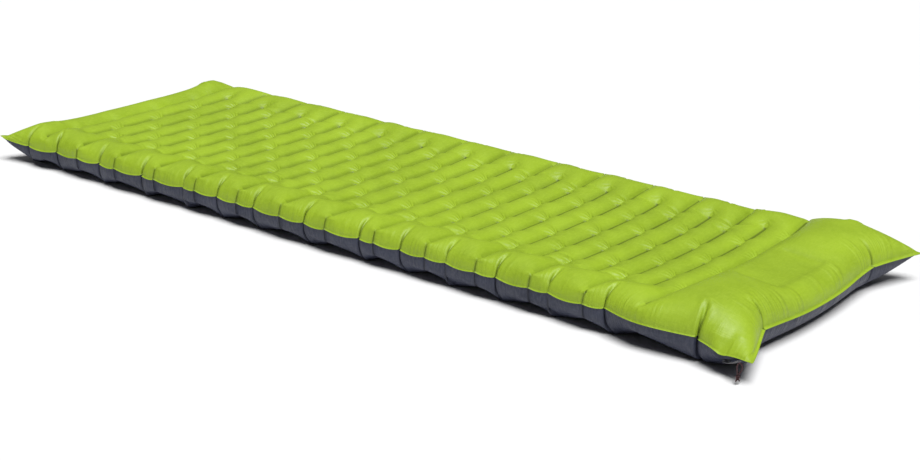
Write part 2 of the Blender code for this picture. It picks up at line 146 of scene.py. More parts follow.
# -------------------- materials
class Nodes:
    """A short way to write a material's nodes."""

    def __init__(self, name):
        self.material = bpy.data.materials.new(name)
        self.material.use_nodes = True
        self.tree = self.material.node_tree
        self.shader = self.tree.nodes["Principled BSDF"]

    def add(self, kind, **values):
        node = self.tree.nodes.new(kind)
        for key, value in values.items():
            setattr(node, key, value)
        return node

    def put(self, socket, value):
        """Sets a socket to a number or colour, or links it to a node or to another socket."""
        if isinstance(value, (int, float, tuple, list)):
            socket.default_value = value
        else:
            self.tree.links.new(value.outputs[0] if hasattr(value, "outputs") else value, socket)

    def math(self, operation, a, b=0.0, c=0.0):
        node = self.add("ShaderNodeMath", operation=operation)
        for socket, value in zip(node.inputs, (a, b, c)):
            self.put(socket, value)
        return node

    def times(self, *values):
        """The product of all the values."""
        product = values[0]
        for value in values[1:]:
            product = self.math("MULTIPLY", product, value)
        return product

    def noise(self, vector, scale, detail=2.0, roughness=0.5, distortion=0.0):
        node = self.add("ShaderNodeTexNoise")
        self.put(node.inputs["Vector"], vector)
        for key, value in (("Scale", scale), ("Detail", detail), ("Roughness", roughness),
                           ("Distortion", distortion)):
            node.inputs[key].default_value = value
        return node

    def ramp(self, value, low, high, a=0.0, b=1.0):
        """A smooth step from a to b as value goes from low to high."""
        node = self.add("ShaderNodeMapRange", interpolation_type="SMOOTHSTEP")
        self.put(node.inputs["Value"], value)
        for key, number in (("From Min", low), ("From Max", high), ("To Min", a), ("To Max", b)):
            node.inputs[key].default_value = number
        return node

    def mix(self, factor, a, b):
        node = self.add("ShaderNodeMix", data_type="RGBA", blend_type="MIX")
        self.put(node.inputs["Factor"], factor)
        self.put(node.inputs["A"], a)
        self.put(node.inputs["B"], b)
        return node.outputs["Result"]

    def bump(self, height, strength, distance, normal=None):
        node = self.add("ShaderNodeBump")
        node.inputs["Strength"].default_value = strength
        node.inputs["Distance"].default_value = distance
        self.put(node.inputs["Height"], height)
        if normal is not None:
            self.put(node.inputs["Normal"], normal)
        return node

    def coords(self):
        return self.add("ShaderNodeTexCoord").outputs["Object"]

    def split(self, vector):
        node = self.add("ShaderNodeSeparateXYZ")
        self.put(node.inputs[0], vector)
        return node.outputs

    def scaled(self, vector, scale):
        node = self.add("ShaderNodeMapping")
        self.put(node.inputs["Vector"], vector)
        node.inputs["Scale"].default_value = scale
        return node

    def finish(self, **values):
        for key, value in values.items():
            self.put(self.shader.inputs[key.replace("_", " ")], value)
        return self.material


def rgba(r, g, b):
    return (r, g, b, 1.0)


def darker(colour, share):
    return rgba(*(c * share for c in colour[:3]))


THREAD = 0.00042             # spacing of the fabric's yarns
WELD_PAINTED_SHADE, PLEAT_PAINTED_SHADE = 0.22, 0.16   # how dark the painted shade makes the fabric in a weld and in a pleat
RIB_PITCH, YARN_PITCH = 0.0011, 0.0007   # of the webbing
BRAID_PITCH = 0.0028         # length of one turn of the cord's yarns


def coated_fabric(name, colour, shade, light, quilted=False, gathered=False):
    """Plain-woven nylon with a laminated back: fine yarns, small creases, a soft sheen."""
    m = Nodes(name)
    flat = m.add("ShaderNodeUVMap", uv_map="cloth")
    u, v, _ = m.split(flat)
    warp, weft = (m.math("SINE", m.times(way, 2 * math.pi / THREAD)) for way in (u, v))
    weave = m.times(warp, weft)
    place = m.coords()
    broad = m.noise(place, 9.0, 3.0, 0.55)
    fine = m.noise(m.scaled(flat, (260.0, 90.0, 1.0)), 1.0, 4.0, 0.6, 0.4)
    creases = m.noise(m.scaled(flat, (30.0, 95.0, 1.0)), 1.0, 3.0, 0.55, 1.2)
    tint = m.mix(m.ramp(broad, 0.32, 0.68), shade, colour)
    tint = m.mix(m.ramp(fine, 0.35, 0.75, 0.0, 0.35), tint, light)
    height = m.math("ADD", m.times(creases, 0.75), m.times(fine, 0.16))
    if quilted:
        across, painted_weld_shade, near = gap_fans(m, u, v)
        height = m.math("ADD", height, m.times(across, near))
        # Painted shade along the weld lines, with painted shadow at the ends of their gaps.
        tint = m.mix(painted_weld_shade, tint, darker(shade, WELD_PAINTED_SHADE))
    if gathered:
        away = m.math("SUBTRACT", HALF_CUT, m.math("ABSOLUTE", v))
        near_edge = m.ramp(away, 0.070, 0.012)
        patchy = m.ramp(m.noise(m.scaled(flat, (40.0, 8.0, 1.0)), 1.0, 2.0), 0.38, 0.62)
        streaks = m.noise(m.scaled(flat, (230.0, 16.0, 1.0)), 1.0, 2.0, 0.6, 0.3)
        streaks = m.times(m.times(streaks, patchy), m.times(near_edge, 2.2))
        height = m.math("ADD", height, streaks)
        near_end = m.math("MAXIMUM", m.ramp(u, PUMP_END_CUT - 0.095, PUMP_END_CUT - 0.03),
                          m.ramp(u, -0.03, -0.08))
        streaks = m.noise(m.scaled(flat, (11.0, 120.0, 1.0)), 1.0, 2.0, 0.55, 0.5)
        patchy = m.ramp(m.noise(m.scaled(flat, (5.0, 22.0, 1.0)), 1.0, 2.0), 0.45, 0.60)
        streaks = m.times(m.times(streaks, patchy), m.times(near_end, 3.6))
        height = m.math("ADD", height, streaks)
        # Painted shade in the slits of the gathers, and round the foam face on the upper sheet.
        fold = m.add("ShaderNodeAttribute", attribute_name="painted_shade").outputs["Fac"]
        tint = m.mix(fold, tint, darker(shade, PLEAT_PAINTED_SHADE))
    bump = m.bump(height, 0.55, 0.0016)
    bump = m.bump(weave, 0.16, 0.00012, bump)
    rough = m.ramp(m.noise(place, 24.0, 3.0), 0.3, 0.7, 0.42, 0.56)
    return m.finish(Base_Color=tint, Roughness=rough, Normal=bump, Sheen_Weight=0.02,
                    Sheen_Roughness=0.4, Sheen_Tint=light, Specular_IOR_Level=0.32)


def gap_fans(m, u, v):
    """Wrinkles that fan out from each gap of a weld, painted shade along the weld lines with painted shadow
    at the gaps' ends, and how near a gap is.
    """
    tubes = m.math("DIVIDE", u, TUBE_CUT)
    weld = m.math("ROUND", tubes)
    dx = m.times(m.math("SUBTRACT", tubes, weld), TUBE_CUT)
    odd = m.math("PINGPONG", weld, 1.0)
    even = m.math("SUBTRACT", 1.0, odd)
    rows = m.math("ADD", m.math("DIVIDE", v, GAP_ROW), m.times(even, 0.5))
    dy = m.times(m.math("SUBTRACT", rows, m.math("ROUND", rows)), GAP_ROW)
    off_weld, off_gap, off_middle = (m.math("ABSOLUTE", value) for value in (dx, dy, v))

    angle = m.math("ARCTAN2", dy, m.math("ADD", off_weld, 0.010))
    wander = m.noise(m.scaled(m.coords(), (14.0, 14.0, 14.0)), 1.0, 2.0)
    folds = m.math("SINE", m.math("ADD", m.times(angle, 17.0), m.times(wander, 5.0)))
    body = m.times(m.ramp(u, -0.01, 0.01), m.ramp(u, BODY_CUT + 0.01, BODY_CUT - 0.01),
                   m.ramp(off_middle, 0.24, 0.21))
    near = m.times(m.ramp(off_gap, 0.014, 0.030, 1.0, 0.0), m.ramp(off_weld, 0.026, 0.012), body)

    # Painted shade: a dark line in the crease of each weld, and a softer painted shade on the slopes beside
    # it, lighter towards the pump end.
    painted_groove_shade = m.times(m.ramp(off_weld, 0.0058, 0.0012), m.ramp(u, 0.2, 1.6, 1.0, 0.80))
    painted_slope_shade = m.times(m.ramp(off_weld, 0.016, 0.002), m.ramp(u, 0.2, 1.6, 0.55, 0.22))
    ends = m.math("ADD", m.ramp(off_middle, SHORT_HALF + 0.004, SHORT_HALF),
                  m.times(even, m.ramp(off_middle, LONG_HALF + 0.004, LONG_HALF)))
    line = m.times(m.math("MAXIMUM", painted_groove_shade, painted_slope_shade), m.ramp(u, -0.01, 0.0),
                   m.ramp(u, BODY_CUT + 0.01, BODY_CUT + 0.005), m.ramp(off_gap, 0.015, 0.019),
                   m.math("MINIMUM", ends, 1.0))

    # Painted shadow: a dark hook at each end of a gap.
    past_end = m.math("SUBTRACT", off_gap, 0.0175)
    painted_gap_shadow = m.math("SQRT", m.math("ADD", m.times(dx, dx), m.times(past_end, past_end)))
    painted_gap_shadow = m.times(m.ramp(painted_gap_shadow, 0.0080, 0.0020, 0.0, 0.60), m.times(body, m.ramp(off_middle, 0.195, 0.185)))
    return m.times(folds, 0.36), m.math("MAXIMUM", line, painted_gap_shadow), near


def plastic(name, colour, roughness):
    """Moulded plastic with a fine grain."""
    m = Nodes(name)
    place = m.coords()
    speckle = m.noise(place, 1400.0, 3.0, 0.6)
    tint = m.mix(m.ramp(m.noise(place, 180.0), 0.3, 0.7), darker(colour, 0.72), colour)
    rough = m.ramp(speckle, 0.3, 0.7, roughness - 0.07, roughness + 0.07)
    return m.finish(Base_Color=tint, Roughness=rough, Normal=m.bump(speckle, 0.12, 0.0001),
                    Specular_IOR_Level=0.45)


def rubber(name, colour):
    """Milky silicone."""
    m = Nodes(name)
    place = m.coords()
    tint = m.mix(m.ramp(m.noise(place, 300.0), 0.3, 0.7), darker(colour, 0.85), colour)
    return m.finish(Base_Color=tint, Roughness=m.ramp(m.noise(place, 900.0), 0.3, 0.7, 0.36, 0.5),
                    Subsurface_Weight=0.15, Subsurface_Radius=(0.002, 0.002, 0.002),
                    Normal=m.bump(m.noise(place, 1500.0), 0.08, 0.0001))


def webbing(name, colour):
    """Narrow woven tape: ribs across it, with fine yarns."""
    m = Nodes(name)
    place = m.coords()
    x, y, z = m.split(place)
    along = m.math("ADD", x, m.times(z, 0.6))
    ribs = m.math("SINE", m.times(along, 2 * math.pi / RIB_PITCH))
    yarns = m.math("SINE", m.times(y, 2 * math.pi / YARN_PITCH))
    height = m.math("ADD", ribs, m.times(yarns, 0.5))
    # Painted shade: darker in the hollows of the ribs and yarns.
    tint = m.mix(m.ramp(height, -1.2, 1.2), darker(colour, 0.5), colour)
    tint = m.mix(m.ramp(m.noise(place, 600.0), 0.4, 0.7, 0.0, 0.3), tint, rgba(0.12, 0.12, 0.14))
    return m.finish(Base_Color=tint, Roughness=0.75, Sheen_Weight=0.3, Sheen_Roughness=0.5,
                    Normal=m.bump(height, 0.5, 0.00025))


def braid_material(name):
    """Cord sheath: maroon and dark yarns that cross, with a light fleck."""
    m = Nodes(name)
    flat = m.add("ShaderNodeUVMap", uv_map="cloth")
    u, v, _ = m.split(flat)
    turns = m.math("DIVIDE", u, BRAID_PITCH)
    one, two = (m.math("SINE", m.times(m.math(way, turns, v), 2 * math.pi)) for way in ("ADD", "SUBTRACT"))
    cross = m.times(one, two)
    fleck = m.ramp(m.math("ADD", one, two), 1.35, 1.75)
    tint = m.mix(m.ramp(cross, -0.2, 0.5), rgba(0.007, 0.002, 0.003), rgba(0.060, 0.005, 0.009))
    tint = m.mix(m.times(fleck, 0.3), tint, rgba(0.16, 0.02, 0.025))
    fuzz = m.noise(m.coords(), 2600.0, 3.0, 0.7)
    height = m.math("ADD", cross, m.times(fuzz, 0.5))
    return m.finish(Base_Color=tint, Roughness=0.68, Sheen_Weight=0.06, Sheen_Roughness=0.5,
                    Normal=m.bump(height, 0.35, 0.00015))


def foam_material(name):
    """Open-cell foam."""
    m = Nodes(name)
    place = m.coords()
    cells = m.add("ShaderNodeTexVoronoi", feature="F1")
    m.put(cells.inputs["Vector"], place)
    cells.inputs["Scale"].default_value = 700.0
    # Painted shade: darker in the middle of each cell, where the surface dips.
    tint = m.mix(m.ramp(cells, 0.0, 0.6), rgba(0.50, 0.44, 0.30), rgba(0.78, 0.72, 0.55))
    return m.finish(Base_Color=tint, Roughness=0.95, Normal=m.bump(cells, 0.6, 0.0006))


# -------------------- flat cut of the pad
WELDS = 27
TUBE_CUT = 0.0660            # flat length between two welds
TUBE_PITCH = 0.0594          # the same once inflated
BODY_CUT = TUBE_CUT * (WELDS - 1)
FIRST_WELD_X = -0.8306
FOOT_CUT = (0.092, 0.102)    # flat length before the first weld, upper and lower sheet
PUMP_CUT = (0.199, 0.197)    # flat length of the pump chamber, upper and lower sheet
PUMP_END_CUT = BODY_CUT + PUMP_CUT[0]
HALF_CUT = 0.320             # flat half width to the edge weld
HALF_CUT_END = 0.333         # the same at the two ends
END_REACH = 0.11             # how far from an end the extra width fades out
EAR_FOOT, EAR_PUMP = 0.032, 0.042   # extra length at the corners
SIDE_TAKE = 0.009            # share of the length that is taken in along the sides
SEAM_RISE = 0.0038           # the lower sheet is this much wider on each side, the upper narrower
SEAM_WAVE = 0.0100           # and this much more where the edge is gathered
GATHER_REACH, END_GATHER_REACH = 0.054, 0.055   # how far a gather runs in from the side, from the end
GATHER_HALF = 0.0085         # half the cloth that a gather of size 1 takes in
GATHER_DRAW = 2.6            # how hard a gather draws its edge inwards, in pushes of the air
DENT = 0.007                 # depth of the dent that a gather starts from
SMALL_GATHER = 0.6           # up to this size, a gather draws its edge in a fifth as hard
SCALLOP, SCALLOP_REACH = 0.0050, 0.020   # how far a side seam sags between gathers, and how far in
WEB_HEIGHT = 0.044
SHORT_HALF, LONG_HALF = 0.207, 0.288   # half length of the odd and the even welds
GAP_ROW, GAP_WIDTH = 0.1176, 0.034     # spacing and length of the gaps in a weld
PANEL = (0.056, 0.134, 0.078)  # foam face: from and to past the last weld, half width
PANEL_HIGH, PANEL_FALL = 0.0875, 0.005
CORE_HIGH, CORE_FALL, LOBE_RISE = 0.099, 0.020, 0.016   # highest that the pump chamber can swell
SHEAR = 0.3                  # how much of a diagonal's stretch is taken back a step
WEIGHT, CORE_HOLD = 0.02, 125   # the fabric's weight and the foam's hold, in pushes of the air
SEAT_HOLD = 0.3              # how much of its distance to a valve's seat the fabric moves a step
FLOAT = np.float32


class Cut:
    """The flat cut as a grid with k cells to a tube.

    du and dv are the flat lengths of the cells, for the upper and the lower sheet. tie says where a
    web joins the sheets, core how high the pump chamber can swell, face and plane where the foam holds it.
    """

    def __init__(self, k):
        self.k = k
        foot, pump, self.ny = 5 * k // 4, 11 * k // 4, 50 * k // 4
        self.foot, self.pump = foot, pump
        tubes = np.full(k * (WELDS - 1), TUBE_CUT / k)
        rows = [np.r_[np.full(foot, f / foot), tubes, np.full(pump, p / pump)]
                for f, p in zip(FOOT_CUT, PUMP_CUT)]
        self.u = np.r_[0, np.cumsum(rows[0])] - FOOT_CUT[0]
        self.nx = len(self.u) - 1
        self.t = np.linspace(-1, 1, self.ny + 1)
        wide = np.abs(self.t) * HALF_CUT
        self.du = (np.stack(rows)[:, :, None] * np.ones((1, 1, self.ny + 1))).astype(FLOAT)
        self.du[:, foot:foot + len(tubes)] *= (1 - SIDE_TAKE * ease((wide - 0.19) / 0.07)).astype(FLOAT)
        ear = ease((wide - 0.17) / 0.15).astype(FLOAT)
        self.du[:, :foot] *= 1 + EAR_FOOT / FOOT_CUT[0] * ear
        self.du[:, -pump:] *= 1 + EAR_PUMP / PUMP_CUT[0] * ear
        to_end = np.minimum(self.u - self.u[0], self.u[-1] - self.u)
        self.half = HALF_CUT + (HALF_CUT_END - HALF_CUT) * np.clip(1 - to_end / END_REACH, 0, 1) ** 2
        middle = np.abs(self.t[1:] + self.t[:-1]) / 2 * HALF_CUT
        self.weld = [foot + k * i for i in range(WELDS)]
        rise = np.zeros((2, self.nx + 1))
        for axis, side, centre, size in gathers(self):
            if axis == 0 and size > 0.7:
                off = (np.arange(self.nx + 1) - centre) * TUBE_CUT / k
                rise[side] = np.maximum(rise[side], SEAM_WAVE * np.exp(-(off / 0.021) ** 2))
        rise = (rise + SEAM_RISE - 0.4 * SEAM_WAVE) * ease((to_end - 0.10) / 0.12)
        more = rise[np.where(self.t[1:] > 0, 1, 0)].T * np.where(middle > 0.2, 1 / (HALF_CUT - 0.2), 0)
        self.dv = ((2 * self.half / self.ny)[None, :, None] * np.stack([1 - more, 1 + more])).astype(FLOAT)
        self.tie = np.zeros((self.nx + 1, self.ny + 1), FLOAT)
        for index, column in enumerate(self.weld):
            self.tie[column, self.welded(index, wide)] = WEB_HEIGHT
        past = self.u - self.u[self.weld[-1]]
        tail = past[self.weld[-1] + 1:]
        self.core = (CORE_HIGH - CORE_FALL * np.clip((tail - 0.03) / 0.13, 0, 1)).astype(FLOAT)[:, None] \
            + (LOBE_RISE * ease((wide - 0.085) / 0.075)).astype(FLOAT)[None]
        face = (past > PANEL[0]) & (past < PANEL[1])
        self.face = np.ix_(face, wide < PANEL[2])
        share = (past[face] - PANEL[0]) / (PANEL[1] - PANEL[0])
        self.plane = (PANEL_HIGH - PANEL_FALL * share).astype(FLOAT)[:, None]

    def welded(self, index, wide):
        """Where along a weld line the sheets are held."""
        if index == WELDS - 1:
            return np.ones_like(wide, bool)
        if index % 2:
            on, rows = wide <= SHORT_HALF, (0.0, 1.0)
        else:
            on, rows = wide <= LONG_HALF, (0.5, 1.5)
        for row in rows:
            on = on & ~(np.abs(wide - row * GAP_ROW) < GAP_WIDTH / 2)
        return on


def start(cut):
    """A rough pillow to inflate."""
    weld_u = [cut.u[i] for i in cut.weld]
    x = np.interp(cut.u, [cut.u[0], *weld_u, cut.u[-1]],
                  [-0.895, *(FIRST_WELD_X + TUBE_PITCH * i for i in range(WELDS)), 0.878])
    last = weld_u[-1]
    tubes = (cut.u > 0) & (cut.u < last)
    high = 0.022 + np.where(tubes, 0.014 * np.sin(np.pi * ((cut.u / TUBE_CUT) % 1.0)), 0)
    q = (cut.u - last) / PUMP_CUT[0]
    high = np.where(q > 0, 0.053 * np.sqrt(np.clip(1 - (2 * q - 0.95) ** 2, 0, 1)), high)
    p = -cut.u / FOOT_CUT[0]
    high = np.where(p > 0, 0.036 * np.sqrt(np.clip(1 - p ** 2, 0, 1)), high)
    high[[cut.weld[0], cut.weld[-1]]] = 0.022
    inset = np.clip((1 - np.abs(cut.t)) * HALF_CUT / 0.09, 0, 1)
    height = high[:, None] * np.sqrt(np.clip(1 - (1 - inset) ** 2, 0, 1))[None]
    height[[0, -1]] = 0
    middle = 0.037 + (np.where(q > 0, 0.016 * np.clip(q * 3, 0, 1), 0))[:, None] * np.ones_like(height)
    cloth = np.zeros((3, 2, cut.nx + 1, cut.ny + 1), FLOAT)
    cloth[0] = x[:, None]
    cloth[1] = cut.t[None] * (cut.half[:, None] - 0.022)
    cloth[2, 0] = middle + height
    cloth[2, 1] = middle - height
    return cloth


def finer(cloth):
    """The same cloth on a grid twice as fine."""
    n, s, a, b = cloth.shape
    out = np.zeros((n, s, 2 * a - 1, 2 * b - 1), cloth.dtype)
    out[:, :, ::2, ::2] = cloth
    out[:, :, 1::2, ::2] = 0.5 * (cloth[:, :, 1:] + cloth[:, :, :-1])
    out[:, :, :, 1::2] = 0.5 * (out[:, :, :, :-2:2] + out[:, :, :, 2::2])
    return out


def pull(cloth, first, second, rest, stretch, press):
    """Moves each pair of points towards its flat distance."""
    a, b = cloth[first], cloth[second]
    d = b - a
    length = np.sqrt(np.einsum("kijl,kijl->ijl", d, d) + 1e-16)
    off = length - rest
    d *= np.where(off > 0, FLOAT(stretch * 0.5), FLOAT(press * 0.5)) * off / length
    cloth[first] = a + d
    cloth[second] = b - d


def outward(cloth):
    """Area vectors, pointing out of the pad."""
    gx, gy = np.empty_like(cloth), np.empty_like(cloth)
    gx[:, :, 1:-1] = (cloth[:, :, 2:] - cloth[:, :, :-2]) * 0.5
    gx[:, :, 0] = (cloth[:, :, 1] - cloth[:, :, 0]) * 0.5
    gx[:, :, -1] = (cloth[:, :, -1] - cloth[:, :, -2]) * 0.5
    gy[..., 1:-1] = (cloth[..., 2:] - cloth[..., :-2]) * 0.5
    gy[..., 0] = (cloth[..., 1] - cloth[..., 0]) * 0.5
    gy[..., -1] = (cloth[..., -1] - cloth[..., -2]) * 0.5
    n = np.empty_like(cloth)
    n[0] = gx[1] * gy[2] - gx[2] * gy[1]
    n[1] = gx[2] * gy[0] - gx[0] * gy[2]
    n[2] = gx[0] * gy[1] - gx[1] * gy[0]
    n[:, 1] *= -1
    return n


def gathers(cut):
    """Where the edge has too much cloth and folds in: (along a side or an end, which one, place, size)."""
    draw = np.random.default_rng(11)
    folds = []
    for side in (0, 1):
        for n in range(0, WELDS - 1, 2):
            share, size = draw.uniform(0.33, 0.66), draw.uniform(0.75, 1.15)
            if side == 1 and n == 0:
                continue             # the dump valve is here
            folds.append((0, side, cut.weld[n] + share * 2 * cut.k, size))
            if n:
                folds.append((0, side, cut.weld[n], draw.uniform(0.40, 0.65)))
        folds.append((0, side, cut.weld[-1] + 0.100 / PUMP_CUT[0] * cut.pump, 0.85))
        folds.append((0, side, cut.foot * 0.60, 0.45))
    for end, places in ((0, ((-0.22, 0.7), (0.23, 0.8))), (1, ((-0.19, 1.05), (0.20, 0.5)))):
        folds += [(1, end, (y / HALF_CUT + 1) * cut.ny / 2, size) for y, size in places]
    return folds


def fold_rows(cut, fold, reach):
    """The rows that a gather crosses, their indices, and its middle and size."""
    axis, side, centre, size = fold
    step = 2 * HALF_CUT / cut.ny if axis == 0 else TUBE_CUT / cut.k
    rows = np.arange(int(round(reach / step)) + 1)
    last = cut.ny if axis == 0 else cut.nx
    return rows, (rows if side == 0 else last - rows), int(round(centre)), size


def inwards(fold):
    return 1 if fold[1] == 0 else -1


def pinch(cloth, cut, folds):
    """Takes in the cloth of each gather: most at the edge, none at the end of its reach."""
    for fold in folds:
        axis = fold[0]
        rows, index, centre, size = fold_rows(cut, fold, GATHER_REACH if axis == 0 else END_GATHER_REACH)
        cell = TUBE_CUT / cut.k if axis == 0 else 2 * HALF_CUT / cut.ny
        half = max(1, int(round(GATHER_HALF * size / cell)))
        taken = min(2 * GATHER_HALF * size, 2 * half * cell) - 0.0012
        want = 2 * half * cell - taken * (1 - (rows / rows[-1]) ** 1.9)
        if axis == 0:
            a, b = (ALL, ALL, centre - half, index), (ALL, ALL, centre + half, index)
        else:
            a, b = (ALL, ALL, index, centre - half), (ALL, ALL, index, centre + half)
        d = cloth[b] - cloth[a]
        length = np.sqrt((d * d).sum(0) + 1e-16)
        d *= 0.25 * np.maximum(length - want, 0) / length
        cloth[a] += d
        cloth[b] -= d


def draw_in(cloth, cut, folds, push):
    """Holds the edge back where it is gathered, so that it bows out in between."""
    for fold in folds:
        _, index, centre, size = fold_rows(cut, fold, 0.010)
        way = FLOAT(inwards(fold) * push * GATHER_DRAW * size * (1 if size > SMALL_GATHER else 0.2))
        span = slice(centre - 1, centre + 2)
        for line in index:
            if fold[0] == 0:
                cloth[1, :, span, line] += way
            else:
                cloth[0, :, line, span] += way


def press_in(cloth, cut, folds):
    """Starts each gather off with a dent, so that it folds inwards."""
    for fold in folds:
        rows, index, centre, size = fold_rows(cut, fold, 0.05)
        way = inwards(fold) * DENT * size * (1 - rows / rows[-1])
        for off, share in ((0, 1.0), (-1, 0.4), (1, 0.4)):
            if fold[0] == 0:
                cloth[1, :, centre + off, index] += (way * share)[:, None]
            else:
                cloth[0, :, index, centre + off] += (way * share)[:, None]


def inflate(cloth, cut, steps, push, press=0.0, shear_press=0.0, stiff=0.0, keep=0.97, folds=(), seated=()):
    """Blows the pad up: push is the air's push a step, press, shear_press and stiff resist creasing."""
    du, dv = cut.du, cut.dv
    nx, ny = cut.nx, cut.ny
    diagonal = np.sqrt((0.5 * (du[..., 1:] + du[..., :-1])) ** 2 + (0.5 * (dv[:, 1:] + dv[:, :-1])) ** 2)
    pairs = []
    for c in (0, 1):
        here, there = slice(c, nx, 2), slice(c + 1, nx + 1, 2)
        left, right = slice(c, ny, 2), slice(c + 1, ny + 1, 2)
        pairs += [((ALL, ALL, here), (ALL, ALL, there), du[:, c::2], 1.0, press),
                  ((ALL, ALL, ALL, left), (ALL, ALL, ALL, right), dv[..., c::2], 1.0, press)]
        for a, b in ((slice(0, ny), slice(1, ny + 1)), (slice(1, ny + 1), slice(0, ny))):
            pairs.append(((ALL, ALL, here, a), (ALL, ALL, there, b), diagonal[:, c::2], SHEAR, shear_press))
    bends = []
    for c in (0, 1) if stiff else ():
        along = np.array([i for i in range(nx - 1) if (i // 2) % 2 == c])
        over = np.array([j for j in range(ny - 1) if (j // 2) % 2 == c])
        bends += [((ALL, ALL, along), (ALL, ALL, along + 2), (du[:, 1:] + du[:, :-1])[:, along]),
                  ((Ellipsis, over), (Ellipsis, over + 2), (dv[..., 1:] + dv[..., :-1])[..., over])]
    tie_i, tie_j = np.nonzero(cut.tie)
    tied = cut.tie[tie_i, tie_j]
    cell = TUBE_CUT / cut.k * 2 * HALF_CUT / ny
    tail = cut.weld[-1] + 1
    speed = np.zeros_like(cloth)
    for _ in range(steps):
        speed *= keep
        speed += outward(cloth) * FLOAT(push / cell)
        speed[2] -= FLOAT(push * WEIGHT)
        speed[2, 0, tail:] -= FLOAT(push * CORE_HOLD) * np.maximum(cloth[2, 0, tail:] - cut.core, 0)
        moved = cloth + speed
        for pair in pairs:
            pull(moved, *pair)
        for a, b, rest in bends:
            d = moved[b] - moved[a]
            length = np.sqrt(np.einsum("kijl,kijl->ijl", d, d) + 1e-16)
            d *= np.minimum(FLOAT(stiff * 0.5) * (length - rest) / length, 0)
            moved[a] += d
            moved[b] -= d
        if folds:
            pinch(moved, cut, folds)
            draw_in(moved, cut, folds, push)
        a, b = moved[:, 0, tie_i, tie_j], moved[:, 1, tie_i, tie_j]
        d = b - a
        length = np.sqrt((d * d).sum(0) + 1e-16)
        d *= 0.5 * np.maximum(length - tied, 0) / length
        moved[:, 0, tie_i, tie_j] = a + d
        moved[:, 1, tie_i, tie_j] = b - d
        moved[(2, 0) + cut.face] = cut.plane
        for si, sj, middle, out in seated:
            off = (moved[:, 1, si, sj] - middle[:, None]).T @ out
            moved[:, 1, si, sj] -= SEAT_HOLD * out[:, None] * off
        for edge in ((ALL, ALL, 0), (ALL, ALL, -1), (ALL, ALL, ALL, 0), (ALL, ALL, ALL, -1)):
            moved[edge] = moved[edge].mean(1, keepdims=True)
        np.maximum(moved[2], 0, out=moved[2])
        speed = moved - cloth
        cloth = moved
    return cloth


# flange of each valve: which way it faces, how far round it the fabric lies flat, and how far it bends
SEAT_DEPTH = 0.0009          # from the middle of a flange to the fabric under it
PORT_RADII = (0.0048, 0.0070)   # of the holes for the valve bodies
VALVES = (("intake_valve_flange", (0.1950, -0.3366, -0.9212), 0.0105, 0.026),
          ("dump_valve_flange", (0.0, 0.9036, -0.4283), 0.0160, 0.040))


def valve_seats():
    """A point on the fabric under each flange, the way out, and the two radii."""
    seats = []
    for node, out, flat, reach in VALVES:
        low, high = (np.array(p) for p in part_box(node))
        out = np.array(out) / np.linalg.norm(out)
        seats.append(((low + high) / 2 - out * SEAT_DEPTH, out, flat, reach))
    return seats


def seat_distance(cloth, seat):
    """How far each point of the lower sheet is off the seat's plane, and from its axis."""
    middle, out, _, _ = seat
    away = cloth[:, 1] - middle[:, None, None]
    off = np.einsum("kij,k->ij", away, out)
    return off, np.sqrt(np.maximum((away ** 2).sum(0) - off ** 2, 0))


def seated_points(cloth):
    """The points that each flange holds flat."""
    held = []
    for seat in valve_seats():
        off, radius = seat_distance(cloth, seat)
        inside = (radius < seat[2] * 1.15) & (np.abs(off) < 0.035)
        inside[:, [0, -1]] = False
        held.append((*np.nonzero(inside), seat[0].astype(FLOAT), seat[1].astype(FLOAT)))
    return held


def lay_flat(cloth):
    """Takes out what is left between the fabric and each flange."""
    for seat in valve_seats():
        off, radius = seat_distance(cloth, seat)
        near = (1 - ease((radius - seat[2]) / (seat[3] - seat[2]))) * (np.abs(off) < 0.02)
        near[:, [0, -1]] = 0
        cloth[:, 1] -= (off * near)[None] * seat[1][:, None, None]
    return cloth.astype(FLOAT)


def centre(cloth, cut):
    """Puts the middle of the welds where the frame has it."""
    cloth[0] -= cloth[0][:, cut.weld].mean() - (FIRST_WELD_X + TUBE_PITCH * (WELDS - 1) / 2)


def scallop(cloth, cut):
    """Lets the side seams sag between the gathers, where they are pulled up."""
    over = np.arange(cut.ny + 1) * (2 * HALF_CUT / cut.ny)
    weight = np.exp(-(over / SCALLOP_REACH) ** 2)
    for side in (0, 1):
        centres = sorted({int(round(fold[2])) for fold in gathers(cut) if fold[:2] == (0, side)})
        dip = np.zeros(cut.nx + 1)
        for a, b in zip(centres[:-1], centres[1:]):
            t = np.linspace(0, 1, b - a + 1)
            dip[a:b + 1] = (4 * t * (1 - t) - 0.5) * min(1.0, (b - a) / cut.k)
        row = weight if side == 0 else weight[::-1]
        cloth[2] -= (SCALLOP * dip[:, None] * row[None]).astype(FLOAT)


def make_cloth():
    """The inflated cloth, as [axis, sheet, along, across], and its cut."""
    cut = Cut(4)
    cloth = inflate(start(cut), cut, 800, 1.5e-4)
    cut = Cut(8)
    cloth = inflate(finer(cloth), cut, 700, 3e-5, keep=0.98)
    folds = gathers(cut)
    press_in(cloth, cut, folds)
    cloth = inflate(cloth, cut, 300, 2e-5, press=0.1, shear_press=0.02, stiff=0.02, folds=folds)
    cut = Cut(16)
    folds = gathers(cut)
    cloth = finer(cloth)
    cloth += np.random.default_rng(5).normal(0, 1.2e-4, cloth.shape).astype(FLOAT)
    centre(cloth, cut)
    seated = seated_points(cloth)
    cloth = inflate(cloth, cut, 200, 1.2e-5, press=0.25, shear_press=0.05, stiff=0.02, keep=0.96,
                    folds=folds, seated=seated)
    cloth = inflate(cloth, cut, 200, 6e-6, press=0.6, shear_press=0.2, stiff=0.03, keep=0.95,
                    folds=folds, seated=seated)
    centre(cloth, cut)
    scallop(cloth, cut)
    return lay_flat(cloth), cut


cloth, cut = make_cloth()


